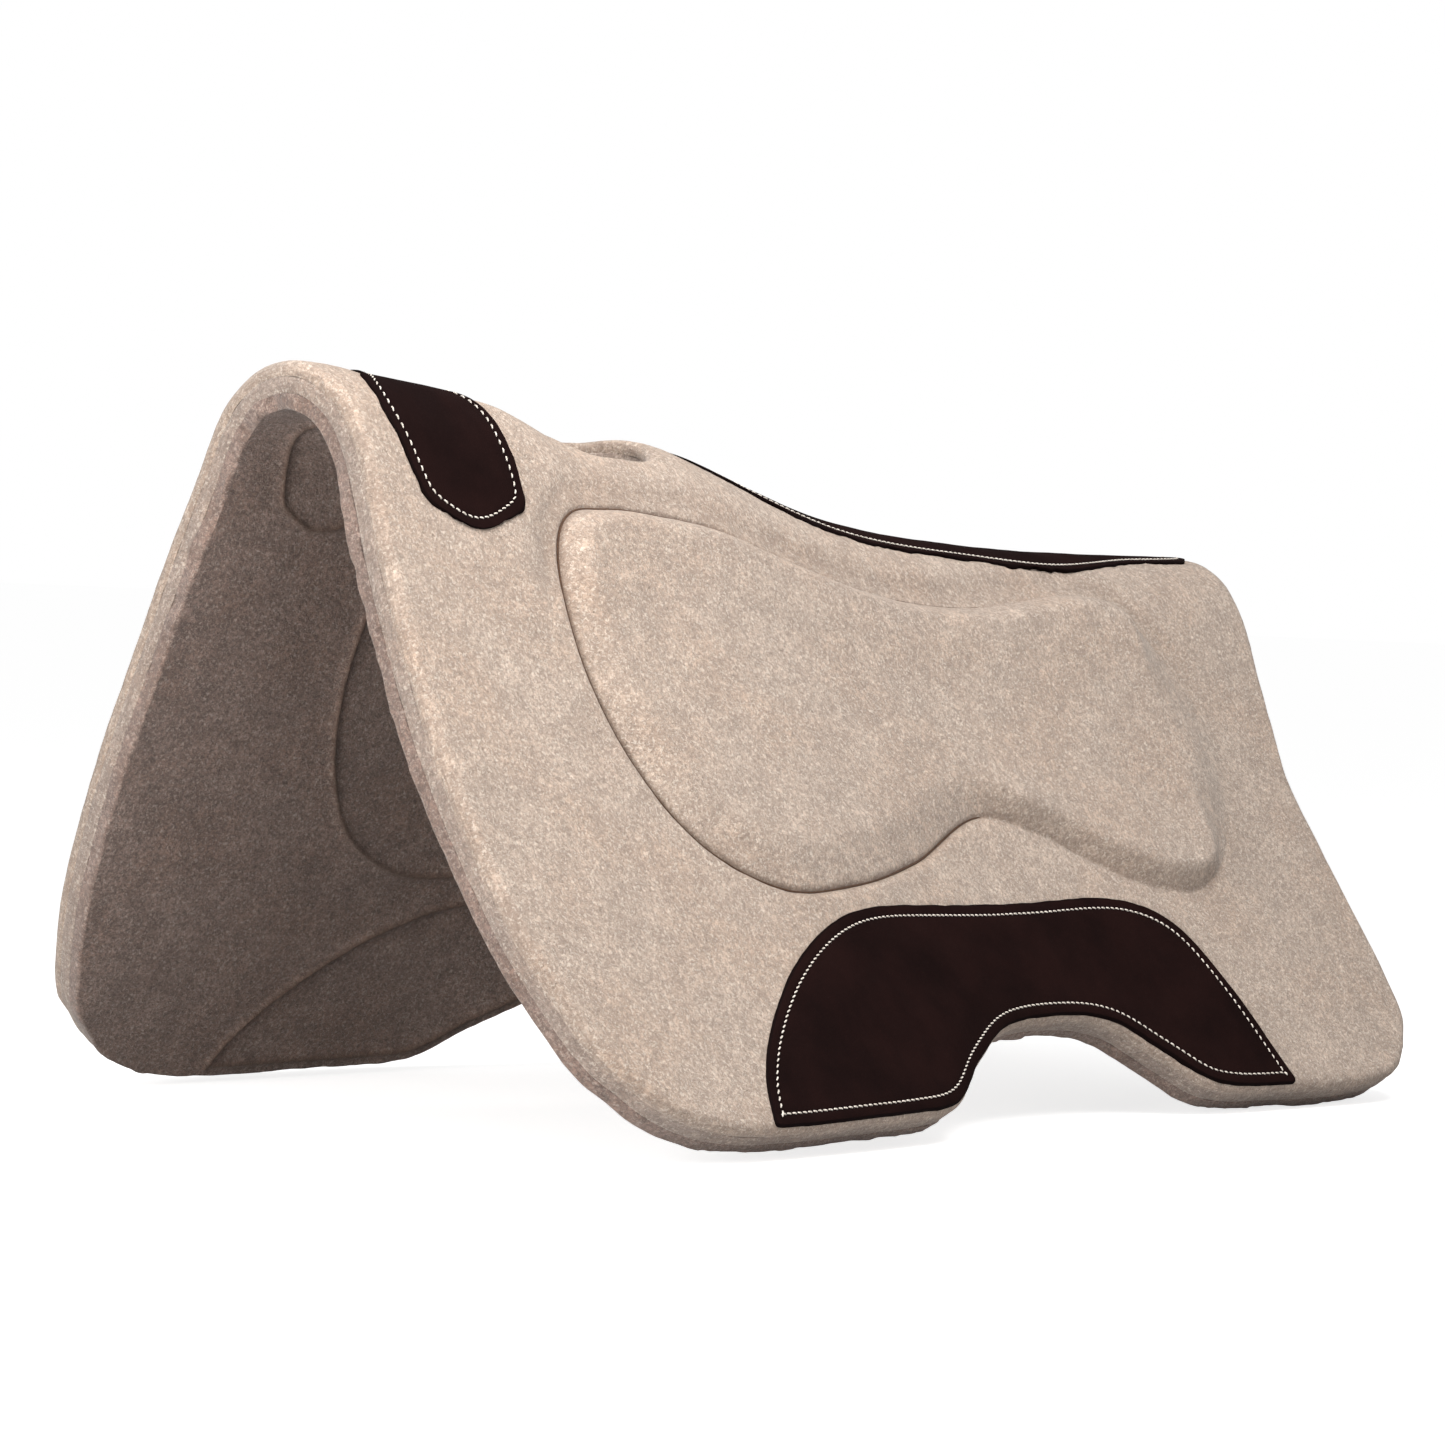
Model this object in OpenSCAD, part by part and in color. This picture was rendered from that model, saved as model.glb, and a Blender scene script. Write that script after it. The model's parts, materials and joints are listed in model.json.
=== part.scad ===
// Western saddle pad, pressed from wool felt over the shape of a horse's back. Millimetres.
// X runs back along the spine from the withers, -Y is the near (left) side, +Z is up.
// It stands on the lower edges of its sides, with the origin on the floor under its middle.
// A place on the pad is [x, s, d]: x along the spine, s down the felt from the spine (negative on
// the left), and d out of the middle of the felt, towards the saddle.

/* [Pad] */
// Length along the spine
pad_l = 787; // [710:1:860]
// Drop of the front corners below the spine, along the felt
drop_l = 432; // [395:1:465]
// Thickness of the felt, all plies together
felt_t = 25.4; // [19:0.1:32]
// Height that the contour insert lifts the outer ply by
insert_t = 6; // [3:0.5:9]

/* [Arch] */
// Tilt of the sides below level at the front, in degrees
front_tilt = 69.5; // [62:0.5:74]
// Tilt of the sides below level at the rear, in degrees
rear_tilt = 64.5; // [58:0.5:72]
// Width of felt, from the spine down, that turns from level to that tilt
turn_w = 78; // [70:1:100]
// Degrees that the sides relax outwards again for each millimetre further down
relax = 0.033; // [0:0.001:0.05]
// Height of the front of the spine over its rear
withers_h = 83; // [60:1:100]

/* [Flex lines] */
// Distance of each flex line from the middle
flex_y = 42; // [36:1:48]
// Depth of the flex line below the spine at the front
flex_front = 42; // [38:1:48]
// Depth of the flex line below the spine at the rear
flex_rear = 44; // [38:1:48]
// Tilt of the cut through the felt at the flex line, from upright, in degrees
flex_tilt = 50; // [42:1:58]
// Room in that cut for a side to swing
flex_gap = 4; // [3:0.5:6]

/* [Leather] */
// Thickness of the leathers
leather_t = 3; // [2:0.5:5]
// Distance of the stitching from the leather's edge
stitch_in = 6.5; // [5:0.5:9]
// Thickness of the thread
thread_t = 1.6; // [1:0.1:2.4]
// Clearance under the wither patch, which lies across both flex lines
patch_gap = 0.6; // [0.4:0.1:1.5]

/* [Vent] */
// Length of the vent over the withers
vent_l = 84; // [60:1:100]
// Width of the vent
vent_w = 48; // [30:1:56]

/* [Hidden] */
SIDE_PIECES = ["outer_felt", "core_felt", "liner_felt", "contour_insert", "insert_seam",
               "wear_leather", "wear_leather_stitching"];

FELT = [0.78, 0.71, 0.64];
LINER = [0.62, 0.55, 0.49];
CORE = [0.70, 0.63, 0.56];
HIDE = [0.13, 0.07, 0.06];
THREAD = [0.90, 0.87, 0.82];
SEAM = [0.46, 0.33, 0.22];

kx = pad_l / 787;
kv = drop_l / 432;
ply_t = felt_t / 3;

// Outlines of a 31 in pad, as a few points that a smooth curve passes through
SPINE = [[0, 1], [140, 0.78], [260, 0.6], [420, 0.18], [580, 0.03], [787, 0]];
FRONT = [[0, -4], [40, -3], [81, -3], [120, -6], [162, -7], [243, -5], [324, 8], [372, 26], [394, 39],
         [404, 52]];
REAR = [[0, 787], [69, 775], [130, 766], [163, 761], [207, 766], [270, 773], [300, 774], [326, 771],
        [346, 757]];
BOTTOM = [[52, 404], [66, 415], [86, 423], [111, 427], [145, 426], [215, 418], [268, 409], [310, 395],
          [345, 364], [388, 334], [440, 321], [490, 322], [527, 342], [560, 361], [630, 365],
          [690, 366], [728, 363], [744, 357], [757, 346]];
WEAR_TOP = [[145, 418], [150, 400], [168, 371], [213, 326], [274, 289], [353, 266], [450, 249],
            [545, 243], [585, 258], [612, 298], [632, 358]];
INSERT_TOP = [[124, 130], [136, 90], [152, 68], [225, 60], [434, 58], [627, 48], [662, 66], [690, 125]];
INSERT_LOW = [[124, 170], [138, 212], [175, 260], [233, 280], [300, 265], [361, 238], [440, 196],
              [493, 203], [562, 228], [625, 234], [667, 208], [690, 165]];
PATCH_LOW = [[25, 62], [31, 83], [41, 91], [57, 97], [73, 97], [90, 90], [108, 78], [112, 68]];
STRIP_LOW = [[286, 4], [298, 12], [330, 22], [380, 27], [420, 28], [520, 26], [620, 27], [700, 17],
             [775, 8]];
// How far the top line sags or rises from that under the leathers and round the vent
SAG = [[0, 0], [22, 2.5], [45, 0.5], [60, 0], [130, 1], [150, -3], [175, -9], [200, -6.5], [225, -3],
       [250, 0], [270, 1], [300, -1], [340, -2.5], [420, -3.4], [580, -3], [680, -2], [787, -0.5]];
vent_mid = 218;

function clamp01(a) = min(max(a, 0), 1);
function mix(a, b, t) = a + (b - a) * t;
function ease(t) = let(c = clamp01(t)) c * c * (3 - 2 * c);
function round_off(t) = (1 - cos(180 * t)) / 2;

// A smooth curve through points [p, q], with p rising, read at p
function slope_at(P, i) =
    let(a = P[max(i - 1, 0)], b = P[min(i + 1, len(P) - 1)]) (b[1] - a[1]) / (b[0] - a[0]);
function stretch(P, p, i = 0) = (i >= len(P) - 2 || p < P[i + 1][0]) ? i : stretch(P, p, i + 1);
function read(P, p) =
    let(i = stretch(P, p), h = P[i + 1][0] - P[i][0], t = clamp01((p - P[i][0]) / h))
    mix(P[i][1], P[i + 1][1], t * t * (3 - 2 * t))
    + h * t * (1 - t) * (slope_at(P, i) * (1 - t) - slope_at(P, i + 1) * t);

function front_x(v) = kx * read(FRONT, v / kv);
function rear_x(v) = kx * read(REAR, v / kv);
function spread(P, x) = kv * read(P, x / kx);

// The middle of the felt: its tilt at v down from the spine, and its section at x
STEPS = 24;
ONES = [for (k = [1:STEPS]) 1];
function tilt(x, v) =
    mix(front_tilt, rear_tilt, x / pad_l) * sin(90 * min(v / turn_w, 1)) - relax * max(0, v - 0.8 * turn_w);
function sag(x, v) = read(SAG, x / kx) * (1 - ease(v / (1.3 * turn_w)));
function section(x, v, d) =
    let(h = v / STEPS, t = [for (k = [0.5:STEPS]) tilt(x, k * h)], n = tilt(x, v))
    [[for (a = t) cos(a)] * ONES * h + d * sin(n),
     withers_h * read(SPINE, x / kx) + sag(x, v) - [for (a = t) sin(a)] * ONES * h + d * cos(n)];

// The cut at the flex line: the place v at x where the felt at d is `off` below the cut's plane
function flex_z(x) = mix(withers_h - flex_front, -flex_rear, x / pad_l);
function past_cut(x, v, d) =
    let(p = section(x, v, d)) cos(flex_tilt) * (p[0] - flex_y) - sin(flex_tilt) * (p[1] - flex_z(x));
function cut_v(x, d, off, low = 10, high = 140, n = 13) =
    n == 0 ? (low + high) / 2
    : let(m = (low + high) / 2)
      past_cut(x, m, d) < off ? cut_v(x, d, off, m, high, n - 1) : cut_v(x, d, off, low, m, n - 1);
function along_flex(u) = mix(front_x(60), rear_x(60), u);

// Cells along and down a side, and across the spine
ALONG = 36;
DOWN = 10;
ACROSS = 8;

// One side's panel at [u, t] in 0..1, as [x, v], filled in between its four edges
function top_edge(u, d) = let(x = along_flex(u)) [x, cut_v(x, d, flex_gap / 2)];
function low_edge(u) = let(x = kx * mix(BOTTOM[0][0], BOTTOM[len(BOTTOM) - 1][0], u)) [x, spread(BOTTOM, x)];
function panel(u, t, top, first, last) =
    let(front = mix(first[1], low_edge(0)[1], t), rear = mix(last[1], low_edge(1)[1], t))
    mix(top, low_edge(u), t)
    + mix([front_x(front), front], [rear_x(rear), rear], u)
    - mix(mix(first, low_edge(0), t), mix(last, low_edge(1), t), u);
function panel_grid(d) =
    let(first = top_edge(0, d), last = top_edge(1, d))
    [for (i = [0:ALONG]) let(top = top_edge(i / ALONG, d)) for (j = [0:DOWN])
        panel(i / ALONG, j / DOWN, top, first, last)];

// Where the part's origin is: under the middle of the pad's length, at the lowest edge of the liner
liner_rim = panel_grid(-felt_t / 2);
x_mid = (min([for (p = liner_rim) p[0]]) + pad_l) / 2;
floor_z = min([for (p = liner_rim) section(p[0], p[1], -felt_t / 2)[1]]);
function at(x, s, d) =
    let(p = section(x, abs(s), d)) [x - x_mid, sign(s) * p[0], p[1] - floor_z];

// Lift of the outer ply over the contour insert
INSERT_RAMP = 32;
function lift(x, v) =
    x / kx <= INSERT_TOP[0][0] || x / kx >= INSERT_TOP[len(INSERT_TOP) - 1][0] ? 0
    : insert_t * ease((v - spread(INSERT_TOP, x)) / INSERT_RAMP) * ease((spread(INSERT_LOW, x) - v) / INSERT_RAMP);

// A closed solid between two grids of n by m cells. `turned` is for a right-hand side.
module between(low, high, n, m, turned = false) {
    k = (n + 1) * (m + 1);
    skin = [for (i = [0:n - 1], j = [0:m - 1]) let(a = i * (m + 1) + j, b = a + m + 1)
        each [[a, b, b + 1], [a, b + 1, a + 1]]];
    rim = concat([for (i = [0:n]) i * (m + 1)], [for (j = [1:m]) n * (m + 1) + j],
                 [for (i = [n - 1:-1:0]) i * (m + 1) + m], [for (j = [m - 1:-1:1]) j]);
    wall = [for (q = [0:len(rim) - 1]) let(a = rim[q], b = rim[(q + 1) % len(rim)])
        each [[b, a, a + k], [b, a + k, b + k]]];
    faces = concat(skin, wall, [for (f = skin) [f[2] + k, f[1] + k, f[0] + k]]);
    polyhedron(concat(low, high), turned ? [for (f = faces) [f[2], f[1], f[0]]] : faces);
}

// One ply of a side, from d = low to d = high. The outer ply is lifted over the insert.
module side_ply(side, low, high, lifted = false) {
    up = lifted ? 1 : 0;
    between([for (p = panel_grid(low)) at(p[0], side * p[1], low + up * lift(p[0], p[1]))],
            [for (p = panel_grid(high)) at(p[0], side * p[1], high + up * lift(p[0], p[1]))],
            ALONG, DOWN, side > 0);
}

// One ply over the spine, from cut to cut, with the vent through it
module spine_ply(low, high) {
    function grid(d) = [for (i = [0:ALONG], j = [0:ACROSS])
        let(w = cut_v(along_flex(i / ALONG), d, -flex_gap / 2), s = w * (2 * j / ACROSS - 1))
        at(mix(front_x(abs(s)), rear_x(abs(s)), i / ALONG), s, d)];
    difference() {
        between(grid(low), grid(high), ALONG, ACROSS, true);
        translate([kx * vent_mid - x_mid, 0, 0]) {
            for (end = [-1, 1]) translate([end * (vent_l - vent_w) / 2, 0, 0]) cylinder(h = 600, d = vent_w, $fn = 40);
            translate([-(vent_l - vent_w) / 2, -vent_w / 2, 0]) cube([vent_l - vent_w, vent_w, 600]);
        }
    }
}

// A sheet on the outside of the felt, between two edges that give [x, s] at u in 0..1
module skin(upper, lower, d, t, n, m, turned) {
    function grid(h) = [for (i = [0:n], j = [0:m]) let(p = mix(upper[i], lower[i], j / m))
        at(p[0], p[1], h + lift(p[0], abs(p[1])))];
    between(grid(d), grid(d + t), n, m, turned);
}

// Points along an edge curve from its first x to its last, closer together towards the ends
function edge(P, n, side, from = 0, to = 1) =
    [for (i = [0:n]) let(x = kx * mix(P[0][0], P[len(P) - 1][0], round_off(mix(from, to, i / n))))
        [x, side * spread(P, x)]];
function reversed(P) = [for (i = [len(P) - 1:-1:0]) P[i]];
function unit(a) = a / norm(a);
// The loop P moved in by r, to its left as it runs
function inset(P, r) = [for (i = [0:len(P) - 1])
    let(e = unit(P[(i + 1) % len(P)] - P[(i + len(P) - 1) % len(P)])) P[i] + r * [-e[1], e[0]]];
// The loop P with the points left out that crowd the one before
function thinned(P, gap) = [for (i = [0:len(P) - 1]) if (i == 0 || norm(P[i] - P[i - 1]) > gap) P[i]];

// A closed run of thread along the loop P, four-sided, with its middle at d
module thread(P, d, turned) {
    r = thread_t / 2;
    n = len(P);
    across = [for (i = [0:n - 1]) let(e = unit(P[(i + 1) % n] - P[(i + n - 1) % n])) [-e[1], e[0]]];
    points = [for (i = [0:n - 1]) for (c = [[r, 0], [0, r], [-r, 0], [0, -r]])
        let(p = P[i] + c[0] * across[i]) at(p[0], p[1], d + c[1] + lift(p[0], abs(p[1])))];
    faces = [for (i = [0:n - 1], k = [0:3])
        let(a = 4 * i + k, b = 4 * i + (k + 1) % 4, c = 4 * ((i + 1) % n) + (k + 1) % 4, e = 4 * ((i + 1) % n) + k)
        each [[a, b, c], [a, c, e]]];
    polyhedron(points, turned ? [for (f = faces) [f[2], f[1], f[0]]] : faces);
}

module outer_felt(side) color(FELT) side_ply(side, ply_t / 2, 3 * ply_t / 2, true);
module core_felt(side) color(CORE) side_ply(side, -ply_t / 2, ply_t / 2);
module liner_felt(side) color(LINER) side_ply(side, -3 * ply_t / 2, -ply_t / 2);

// The shim between the core and outer plies. Its upper edge stays below the cut at the flex line.
INSERT_N = 20;
INSERT_M = 8;
insert_root = 0.8;
function insert_top(side) = [for (p = edge(INSERT_TOP, INSERT_N, 1))
    [p[0], side * max(p[1], cut_v(p[0], ply_t / 2, flex_gap / 2) + 6)]];
module contour_insert(side) {
    upper = insert_top(side);
    lower = edge(INSERT_LOW, INSERT_N, side);
    function grid(h, up) = [for (i = [0:INSERT_N], j = [0:INSERT_M])
        let(p = mix(upper[i], lower[i], j / INSERT_M)) at(p[0], p[1], h + up * lift(p[0], abs(p[1])))];
    color(FELT) between(grid(ply_t / 2, 0), grid(ply_t / 2 + insert_root, 1), INSERT_N, INSERT_M, side > 0);
}
// The seam round it, in the outer face, kept on the side's own felt
function seam_top(side) = [for (p = edge(INSERT_TOP, 36, 1, 0.04, 0.96))
    [p[0], side * max(p[1], cut_v(p[0], 3 * ply_t / 2, flex_gap / 2) + 2 * thread_t)]];
module insert_seam(side) color(SEAM)
    thread(concat(edge(INSERT_LOW, 40, side), reversed(seam_top(side))), 3 * ply_t / 2, side < 0);

WEAR_N = 28;
function wear_low(n, side) = [for (i = [0:n]) let(x = kx * mix(143, 634, round_off(i / n))) [x, side * spread(BOTTOM, x)]];
module wear_leather(side) color(HIDE)
    skin(edge(WEAR_TOP, WEAR_N, side), wear_low(WEAR_N, side), 3 * ply_t / 2, leather_t, WEAR_N, 3, side > 0);
module wear_leather_stitching(side) color(THREAD)
    thread(thinned(inset(concat(edge(WEAR_TOP, 50, side), reversed(wear_low(50, side))), side * stitch_in), 3),
        3 * ply_t / 2 + leather_t, side > 0);

module wither_patch() color(HIDE)
    skin(edge(PATCH_LOW, 12, -1), edge(PATCH_LOW, 12, 1), 3 * ply_t / 2 + patch_gap, leather_t, 12, 12, true);
module spine_strip() color(HIDE)
    skin(edge(STRIP_LOW, 22, -1), edge(STRIP_LOW, 22, 1), 3 * ply_t / 2, leather_t, 22, 4, true);
function both_sides(P, n, ends) = let(low = edge(P, n, 1))
    concat([for (s = ends) [low[0][0], low[0][1] * s]], low,
           [for (s = ends) [low[n][0], -low[n][1] * s]], [for (p = reversed(low)) [p[0], -p[1]]]);
module wither_patch_stitching() color(THREAD)
    thread(thinned(inset(both_sides(PATCH_LOW, 16, [-0.75, -0.5, -0.25, 0, 0.25, 0.5, 0.75]), -stitch_in), 3),
        3 * ply_t / 2 + patch_gap + leather_t, true);
module spine_strip_stitching() color(THREAD)
    thread(thinned(inset(both_sides([for (p = STRIP_LOW) if (p[1] > stitch_in) p], 30, [0]), -stitch_in), 3),
        3 * ply_t / 2 + leather_t, true);

module side_piece(name, side) {
    if (name == "outer_felt") outer_felt(side);
    if (name == "core_felt") core_felt(side);
    if (name == "liner_felt") liner_felt(side);
    if (name == "contour_insert") contour_insert(side);
    if (name == "insert_seam") insert_seam(side);
    if (name == "wear_leather") wear_leather(side);
    if (name == "wear_leather_stitching") wear_leather_stitching(side);
}

for (piece = SIDE_PIECES) {
    side_piece(piece, -1);
    side_piece(piece, 1);
}
color(FELT) spine_ply(ply_t / 2, 3 * ply_t / 2);  // spine_outer_felt
color(CORE) spine_ply(-ply_t / 2, ply_t / 2);  // spine_core_felt
color(LINER) spine_ply(-3 * ply_t / 2, -ply_t / 2);  // spine_liner_felt
wither_patch();
wither_patch_stitching();
spine_strip();
spine_strip_stitching();
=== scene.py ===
import json
import math

import bpy
import numpy as np
from mathutils import Matrix, Vector
from mathutils.geometry import delaunay_2d_cdt
from mathutils.kdtree import KDTree


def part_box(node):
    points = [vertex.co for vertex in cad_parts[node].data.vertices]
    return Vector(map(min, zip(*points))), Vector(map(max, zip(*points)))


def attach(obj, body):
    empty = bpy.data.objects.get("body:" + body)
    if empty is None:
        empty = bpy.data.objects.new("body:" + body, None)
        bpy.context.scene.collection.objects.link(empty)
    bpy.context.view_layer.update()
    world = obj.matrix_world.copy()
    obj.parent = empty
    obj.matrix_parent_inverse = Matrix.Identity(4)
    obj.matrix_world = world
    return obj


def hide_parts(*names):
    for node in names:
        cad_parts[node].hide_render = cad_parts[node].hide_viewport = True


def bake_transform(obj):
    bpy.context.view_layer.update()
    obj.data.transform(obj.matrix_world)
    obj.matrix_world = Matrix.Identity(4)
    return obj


# A western saddle pad of pressed wool felt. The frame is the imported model, in metres.
# A place on the pad is x, s, d in millimetres: x runs back along the spine from its front end, s runs
# down the felt from the spine (negative on the left), and d stands out of the middle of the felt.
# v is s without its sign, so both sides share their outlines.

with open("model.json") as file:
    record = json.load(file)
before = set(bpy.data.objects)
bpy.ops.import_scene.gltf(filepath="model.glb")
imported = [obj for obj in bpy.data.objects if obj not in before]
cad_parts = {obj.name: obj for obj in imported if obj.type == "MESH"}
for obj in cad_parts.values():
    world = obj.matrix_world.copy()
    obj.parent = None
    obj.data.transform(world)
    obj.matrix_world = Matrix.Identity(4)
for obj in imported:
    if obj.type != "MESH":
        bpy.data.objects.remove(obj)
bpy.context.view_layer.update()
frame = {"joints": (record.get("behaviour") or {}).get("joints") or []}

MM = 0.001
SIDES = {"left": -1, "right": 1}

# The pad's driving dimensions, in millimetres and degrees
PAD_LENGTH = 787
FELT = 25.4
PLY = FELT / 3
FRONT_TILT, REAR_TILT = 69.5, 64.5
TURN_WIDTH = 78
RELAX = 0.033
WITHERS_HEIGHT = 83
LEATHER_PROUD, LEATHER_SUNK = 1.6, 0.9      # how far a leather's faces lie over and under the felt's face
STITCH_IN, STRIP_STITCH_IN = 6.5, 4.5       # from a leather's edge to its stitching
VENT_LENGTH, VENT_WIDTH, VENT_MIDDLE = 84, 49, 218
VENT_LEAN = (8, 3)                          # how far the felt dips into the vent, on the right and the left
VENT_LEAN_ACROSS, VENT_LEAN_ALONG, VENT_LEAN_BACK = 16, 34, 12
SAG_WIDTH = 1.3 * TURN_WIDTH

# Outlines, as points that a smooth curve passes through
SPINE = [(0, 1), (140, 0.78), (260, 0.6), (420, 0.18), (580, 0.03), (787, 0)]
FRONT = [(0, -4), (40, -3), (81, -3), (120, -6), (162, -7), (243, -5), (324, 8), (372, 26), (394, 39),
         (404, 52)]
REAR = [(0, 787), (69, 775), (130, 766), (163, 761), (207, 766), (270, 773), (300, 774), (326, 771),
        (346, 757)]
BOTTOM = [(52, 404), (66, 415), (86, 423), (111, 427), (145, 426), (215, 418), (268, 409), (310, 395),
          (345, 364), (388, 334), (440, 321), (490, 322), (527, 342), (560, 361), (630, 365), (690, 366),
          (728, 363), (744, 357), (757, 346)]
SAG = [(0, -3.5), (22, -1.5), (45, -2.5), (60, -2), (130, 0), (150, -3), (175, -9), (200, -6.5), (225, -3),
       (250, 0), (270, 1), (300, -1), (340, -2.5), (420, -3.4), (580, -3), (680, -2), (787, -0.5)]
WEAR_TOP = [(145, 418), (150, 400), (168, 371), (213, 326), (274, 289), (353, 266), (450, 249),
            (545, 243), (585, 258), (612, 298), (632, 358)]
WEAR_ENDS = (143, 634)
WEAR_MARGIN = 2
INSERT = [(124, 150), (134, 92), (150, 73), (180, 64), (225, 62), (300, 64), (434, 63), (500, 59), (545, 52),
          (600, 44), (632, 46), (662, 66), (694, 145), (667, 208), (625, 234), (562, 228), (493, 203),
          (440, 196), (361, 238), (300, 265), (233, 280), (175, 260), (138, 212)]
PATCH = [(113, 0), (113, 28), (111, 45), (111, 64), (109, 77), (91, 90), (77, 96.5), (66, 98.5),
         (56, 97), (41, 91), (33, 85.5), (29, 76), (24, 56), (21, 38), (26, 20), (36, 8), (41, 0)]
STRIP = [(777, 0), (775, 8), (700, 17), (620, 27), (520, 26), (420, 28), (380, 27), (330, 21), (300, 12),
         (289, 4), (286, 0)]


# ---- curves and outlines ----
def mix(a, b, t):
    return a + (b - a) * t


def ease(t):
    t = np.clip(t, 0, 1)
    return t * t * (3 - 2 * t)


def read(points, p):
    """A smooth curve through points (p, q), with p rising, read at p."""
    points, p = np.array(points, float), np.asarray(p, float)
    last = len(points) - 1
    i = np.clip(np.searchsorted(points[:, 0], p, side="right") - 1, 0, last - 1)
    before, after = np.maximum(np.arange(last + 1) - 1, 0), np.minimum(np.arange(last + 1) + 1, last)
    slope = (points[after, 1] - points[before, 1]) / (points[after, 0] - points[before, 0])
    h = points[i + 1, 0] - points[i, 0]
    t = np.clip((p - points[i, 0]) / h, 0, 1)
    hump = h * t * (1 - t) * (slope[i] * (1 - t) - slope[i + 1] * t)
    return mix(points[i, 1], points[i + 1, 1], ease(t)) + hump


def resample(line, step, closed=False):
    """Points along a line or loop, evenly spaced at about step, with a line's ends kept."""
    line = np.vstack([line, line[:1]]) if closed else line
    run = np.concatenate([[0], np.cumsum(np.linalg.norm(np.diff(line, axis=0), axis=1))])
    at = np.linspace(0, run[-1], max(2, int(round(run[-1] / step))) + 1)
    even = np.stack([np.interp(at, run, line[:, k]) for k in range(line.shape[1])], 1)
    return even[:-1] if closed else even


def curve_through(points, closed=False, fine=24):
    """A rounded curve through given points (centripetal Catmull-Rom)."""
    p = np.array(points, float)
    p = np.vstack([p[-1:], p, p[:2]]) if closed else np.vstack([2 * p[0] - p[1], p, 2 * p[-1] - p[-2]])
    out = []
    for a, b, c, d in zip(p[:-3], p[1:-2], p[2:-1], p[3:]):
        k1 = np.linalg.norm(b - a) ** 0.5
        k2 = k1 + np.linalg.norm(c - b) ** 0.5
        k3 = k2 + np.linalg.norm(d - c) ** 0.5
        k = np.linspace(k1, k2, fine, endpoint=False)[:, None]
        ab = mix(a, b, k / k1)
        bc = mix(b, c, (k - k1) / (k2 - k1))
        cd = mix(c, d, (k - k2) / (k3 - k2))
        out.append(mix(mix(ab, bc, k / k2), mix(bc, cd, (k - k1) / (k3 - k1)), (k - k1) / (k2 - k1)))
    return np.vstack(out if closed else out + [p[-2:-1]])


def inward(line, closed):
    """Unit directions to the left of a line as it runs, which is inwards on every loop here."""
    t = np.roll(line, -1, 0) - np.roll(line, 1, 0) if closed else np.gradient(line, axis=0)
    t = t / np.maximum(np.linalg.norm(t, axis=1, keepdims=True), 1e-9)
    return np.stack([-t[:, 1], t[:, 0]], 1)


def moved_in(loop, r, closed=True):
    return loop + r * inward(loop, closed)


def inside(loop, p):
    """Whether each point lies inside a closed loop."""
    hits = np.zeros(len(p), int)
    for (ax, ay), (bx, by) in zip(loop, np.roll(loop, -1, 0)):
        if ay != by:
            crosses = (ay > p[:, 1]) != (by > p[:, 1])
            hits += crosses & (p[:, 0] < (bx - ax) * (p[:, 1] - ay) / (by - ay) + ax)
    return hits % 2 == 1


class Line:
    """A line or loop on the pad, and how far points are from it."""

    def __init__(self, points, closed=True, step=0.4):
        self.closed = closed
        self.points = resample(points, step, closed)
        self.tree = KDTree(len(self.points))
        for i, (x, v) in enumerate(self.points):
            self.tree.insert((x, v, 0), i)
        self.tree.balance()

    def nearest(self, p):
        found = [self.tree.find((x, v, 0)) for x, v in p]
        return np.array([f[1] for f in found]), np.array([f[2] for f in found])

    def signed(self, p):
        """The nearest point's index, and the distance in from the loop, negative outside."""
        index, away = self.nearest(p)
        return index, np.where(inside(self.points[::8], p), away, -away)

    def rings(self, offsets, step):
        """Points along the line at each distance in from it."""
        even = resample(self.points, step, self.closed)
        return [moved_in(even, r, self.closed) for r in offsets]


# ---- the pad's surface ----
def tilt(x, v):
    """How far the felt is turned from level, in radians."""
    lean = mix(FRONT_TILT, REAR_TILT, x / PAD_LENGTH) * np.sin(np.pi / 2 * np.minimum(v / TURN_WIDTH, 1))
    return np.radians(lean - RELAX * np.maximum(0, v - 0.8 * TURN_WIDTH))


SECTION_STEPS = 24
spine_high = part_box("spine_outer_felt")[1]
x_middle = PAD_LENGTH - spine_high.x / MM
floor_z = WITHERS_HEIGHT + FELT / 2 - spine_high.z / MM


def sag(x, s):
    """How far the felt sags near its top line, and leans into the vent, in millimetres."""
    v = np.abs(s)
    along = (x - VENT_MIDDLE - VENT_LEAN_BACK) / VENT_LEAN_ALONG
    lean = np.where(s > 0, *VENT_LEAN) * np.tanh(s / VENT_LEAN_ACROSS) * np.exp(-along ** 2)
    lean = lean * (1 - ease((v - 24) / 70))
    return read(SAG, x) * (1 - ease(v / SAG_WIDTH)) + lean


def place(x, s, d):
    """Places on the pad, as points of the frame in metres."""
    x, s, d = (np.asarray(a, float) for a in np.broadcast_arrays(x, s, d))
    v, n = np.abs(s), tilt(x, np.abs(s))
    y, z = d * np.sin(n), d * np.cos(n) + sag(x, s)
    for k in range(SECTION_STEPS):
        t = tilt(x, v * (k + 0.5) / SECTION_STEPS)
        y = y + np.cos(t) * v / SECTION_STEPS
        z = z - np.sin(t) * v / SECTION_STEPS
    return np.stack([x - x_middle, np.sign(s) * y, z + WITHERS_HEIGHT * read(SPINE, x) - floor_z], -1) * MM


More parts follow.
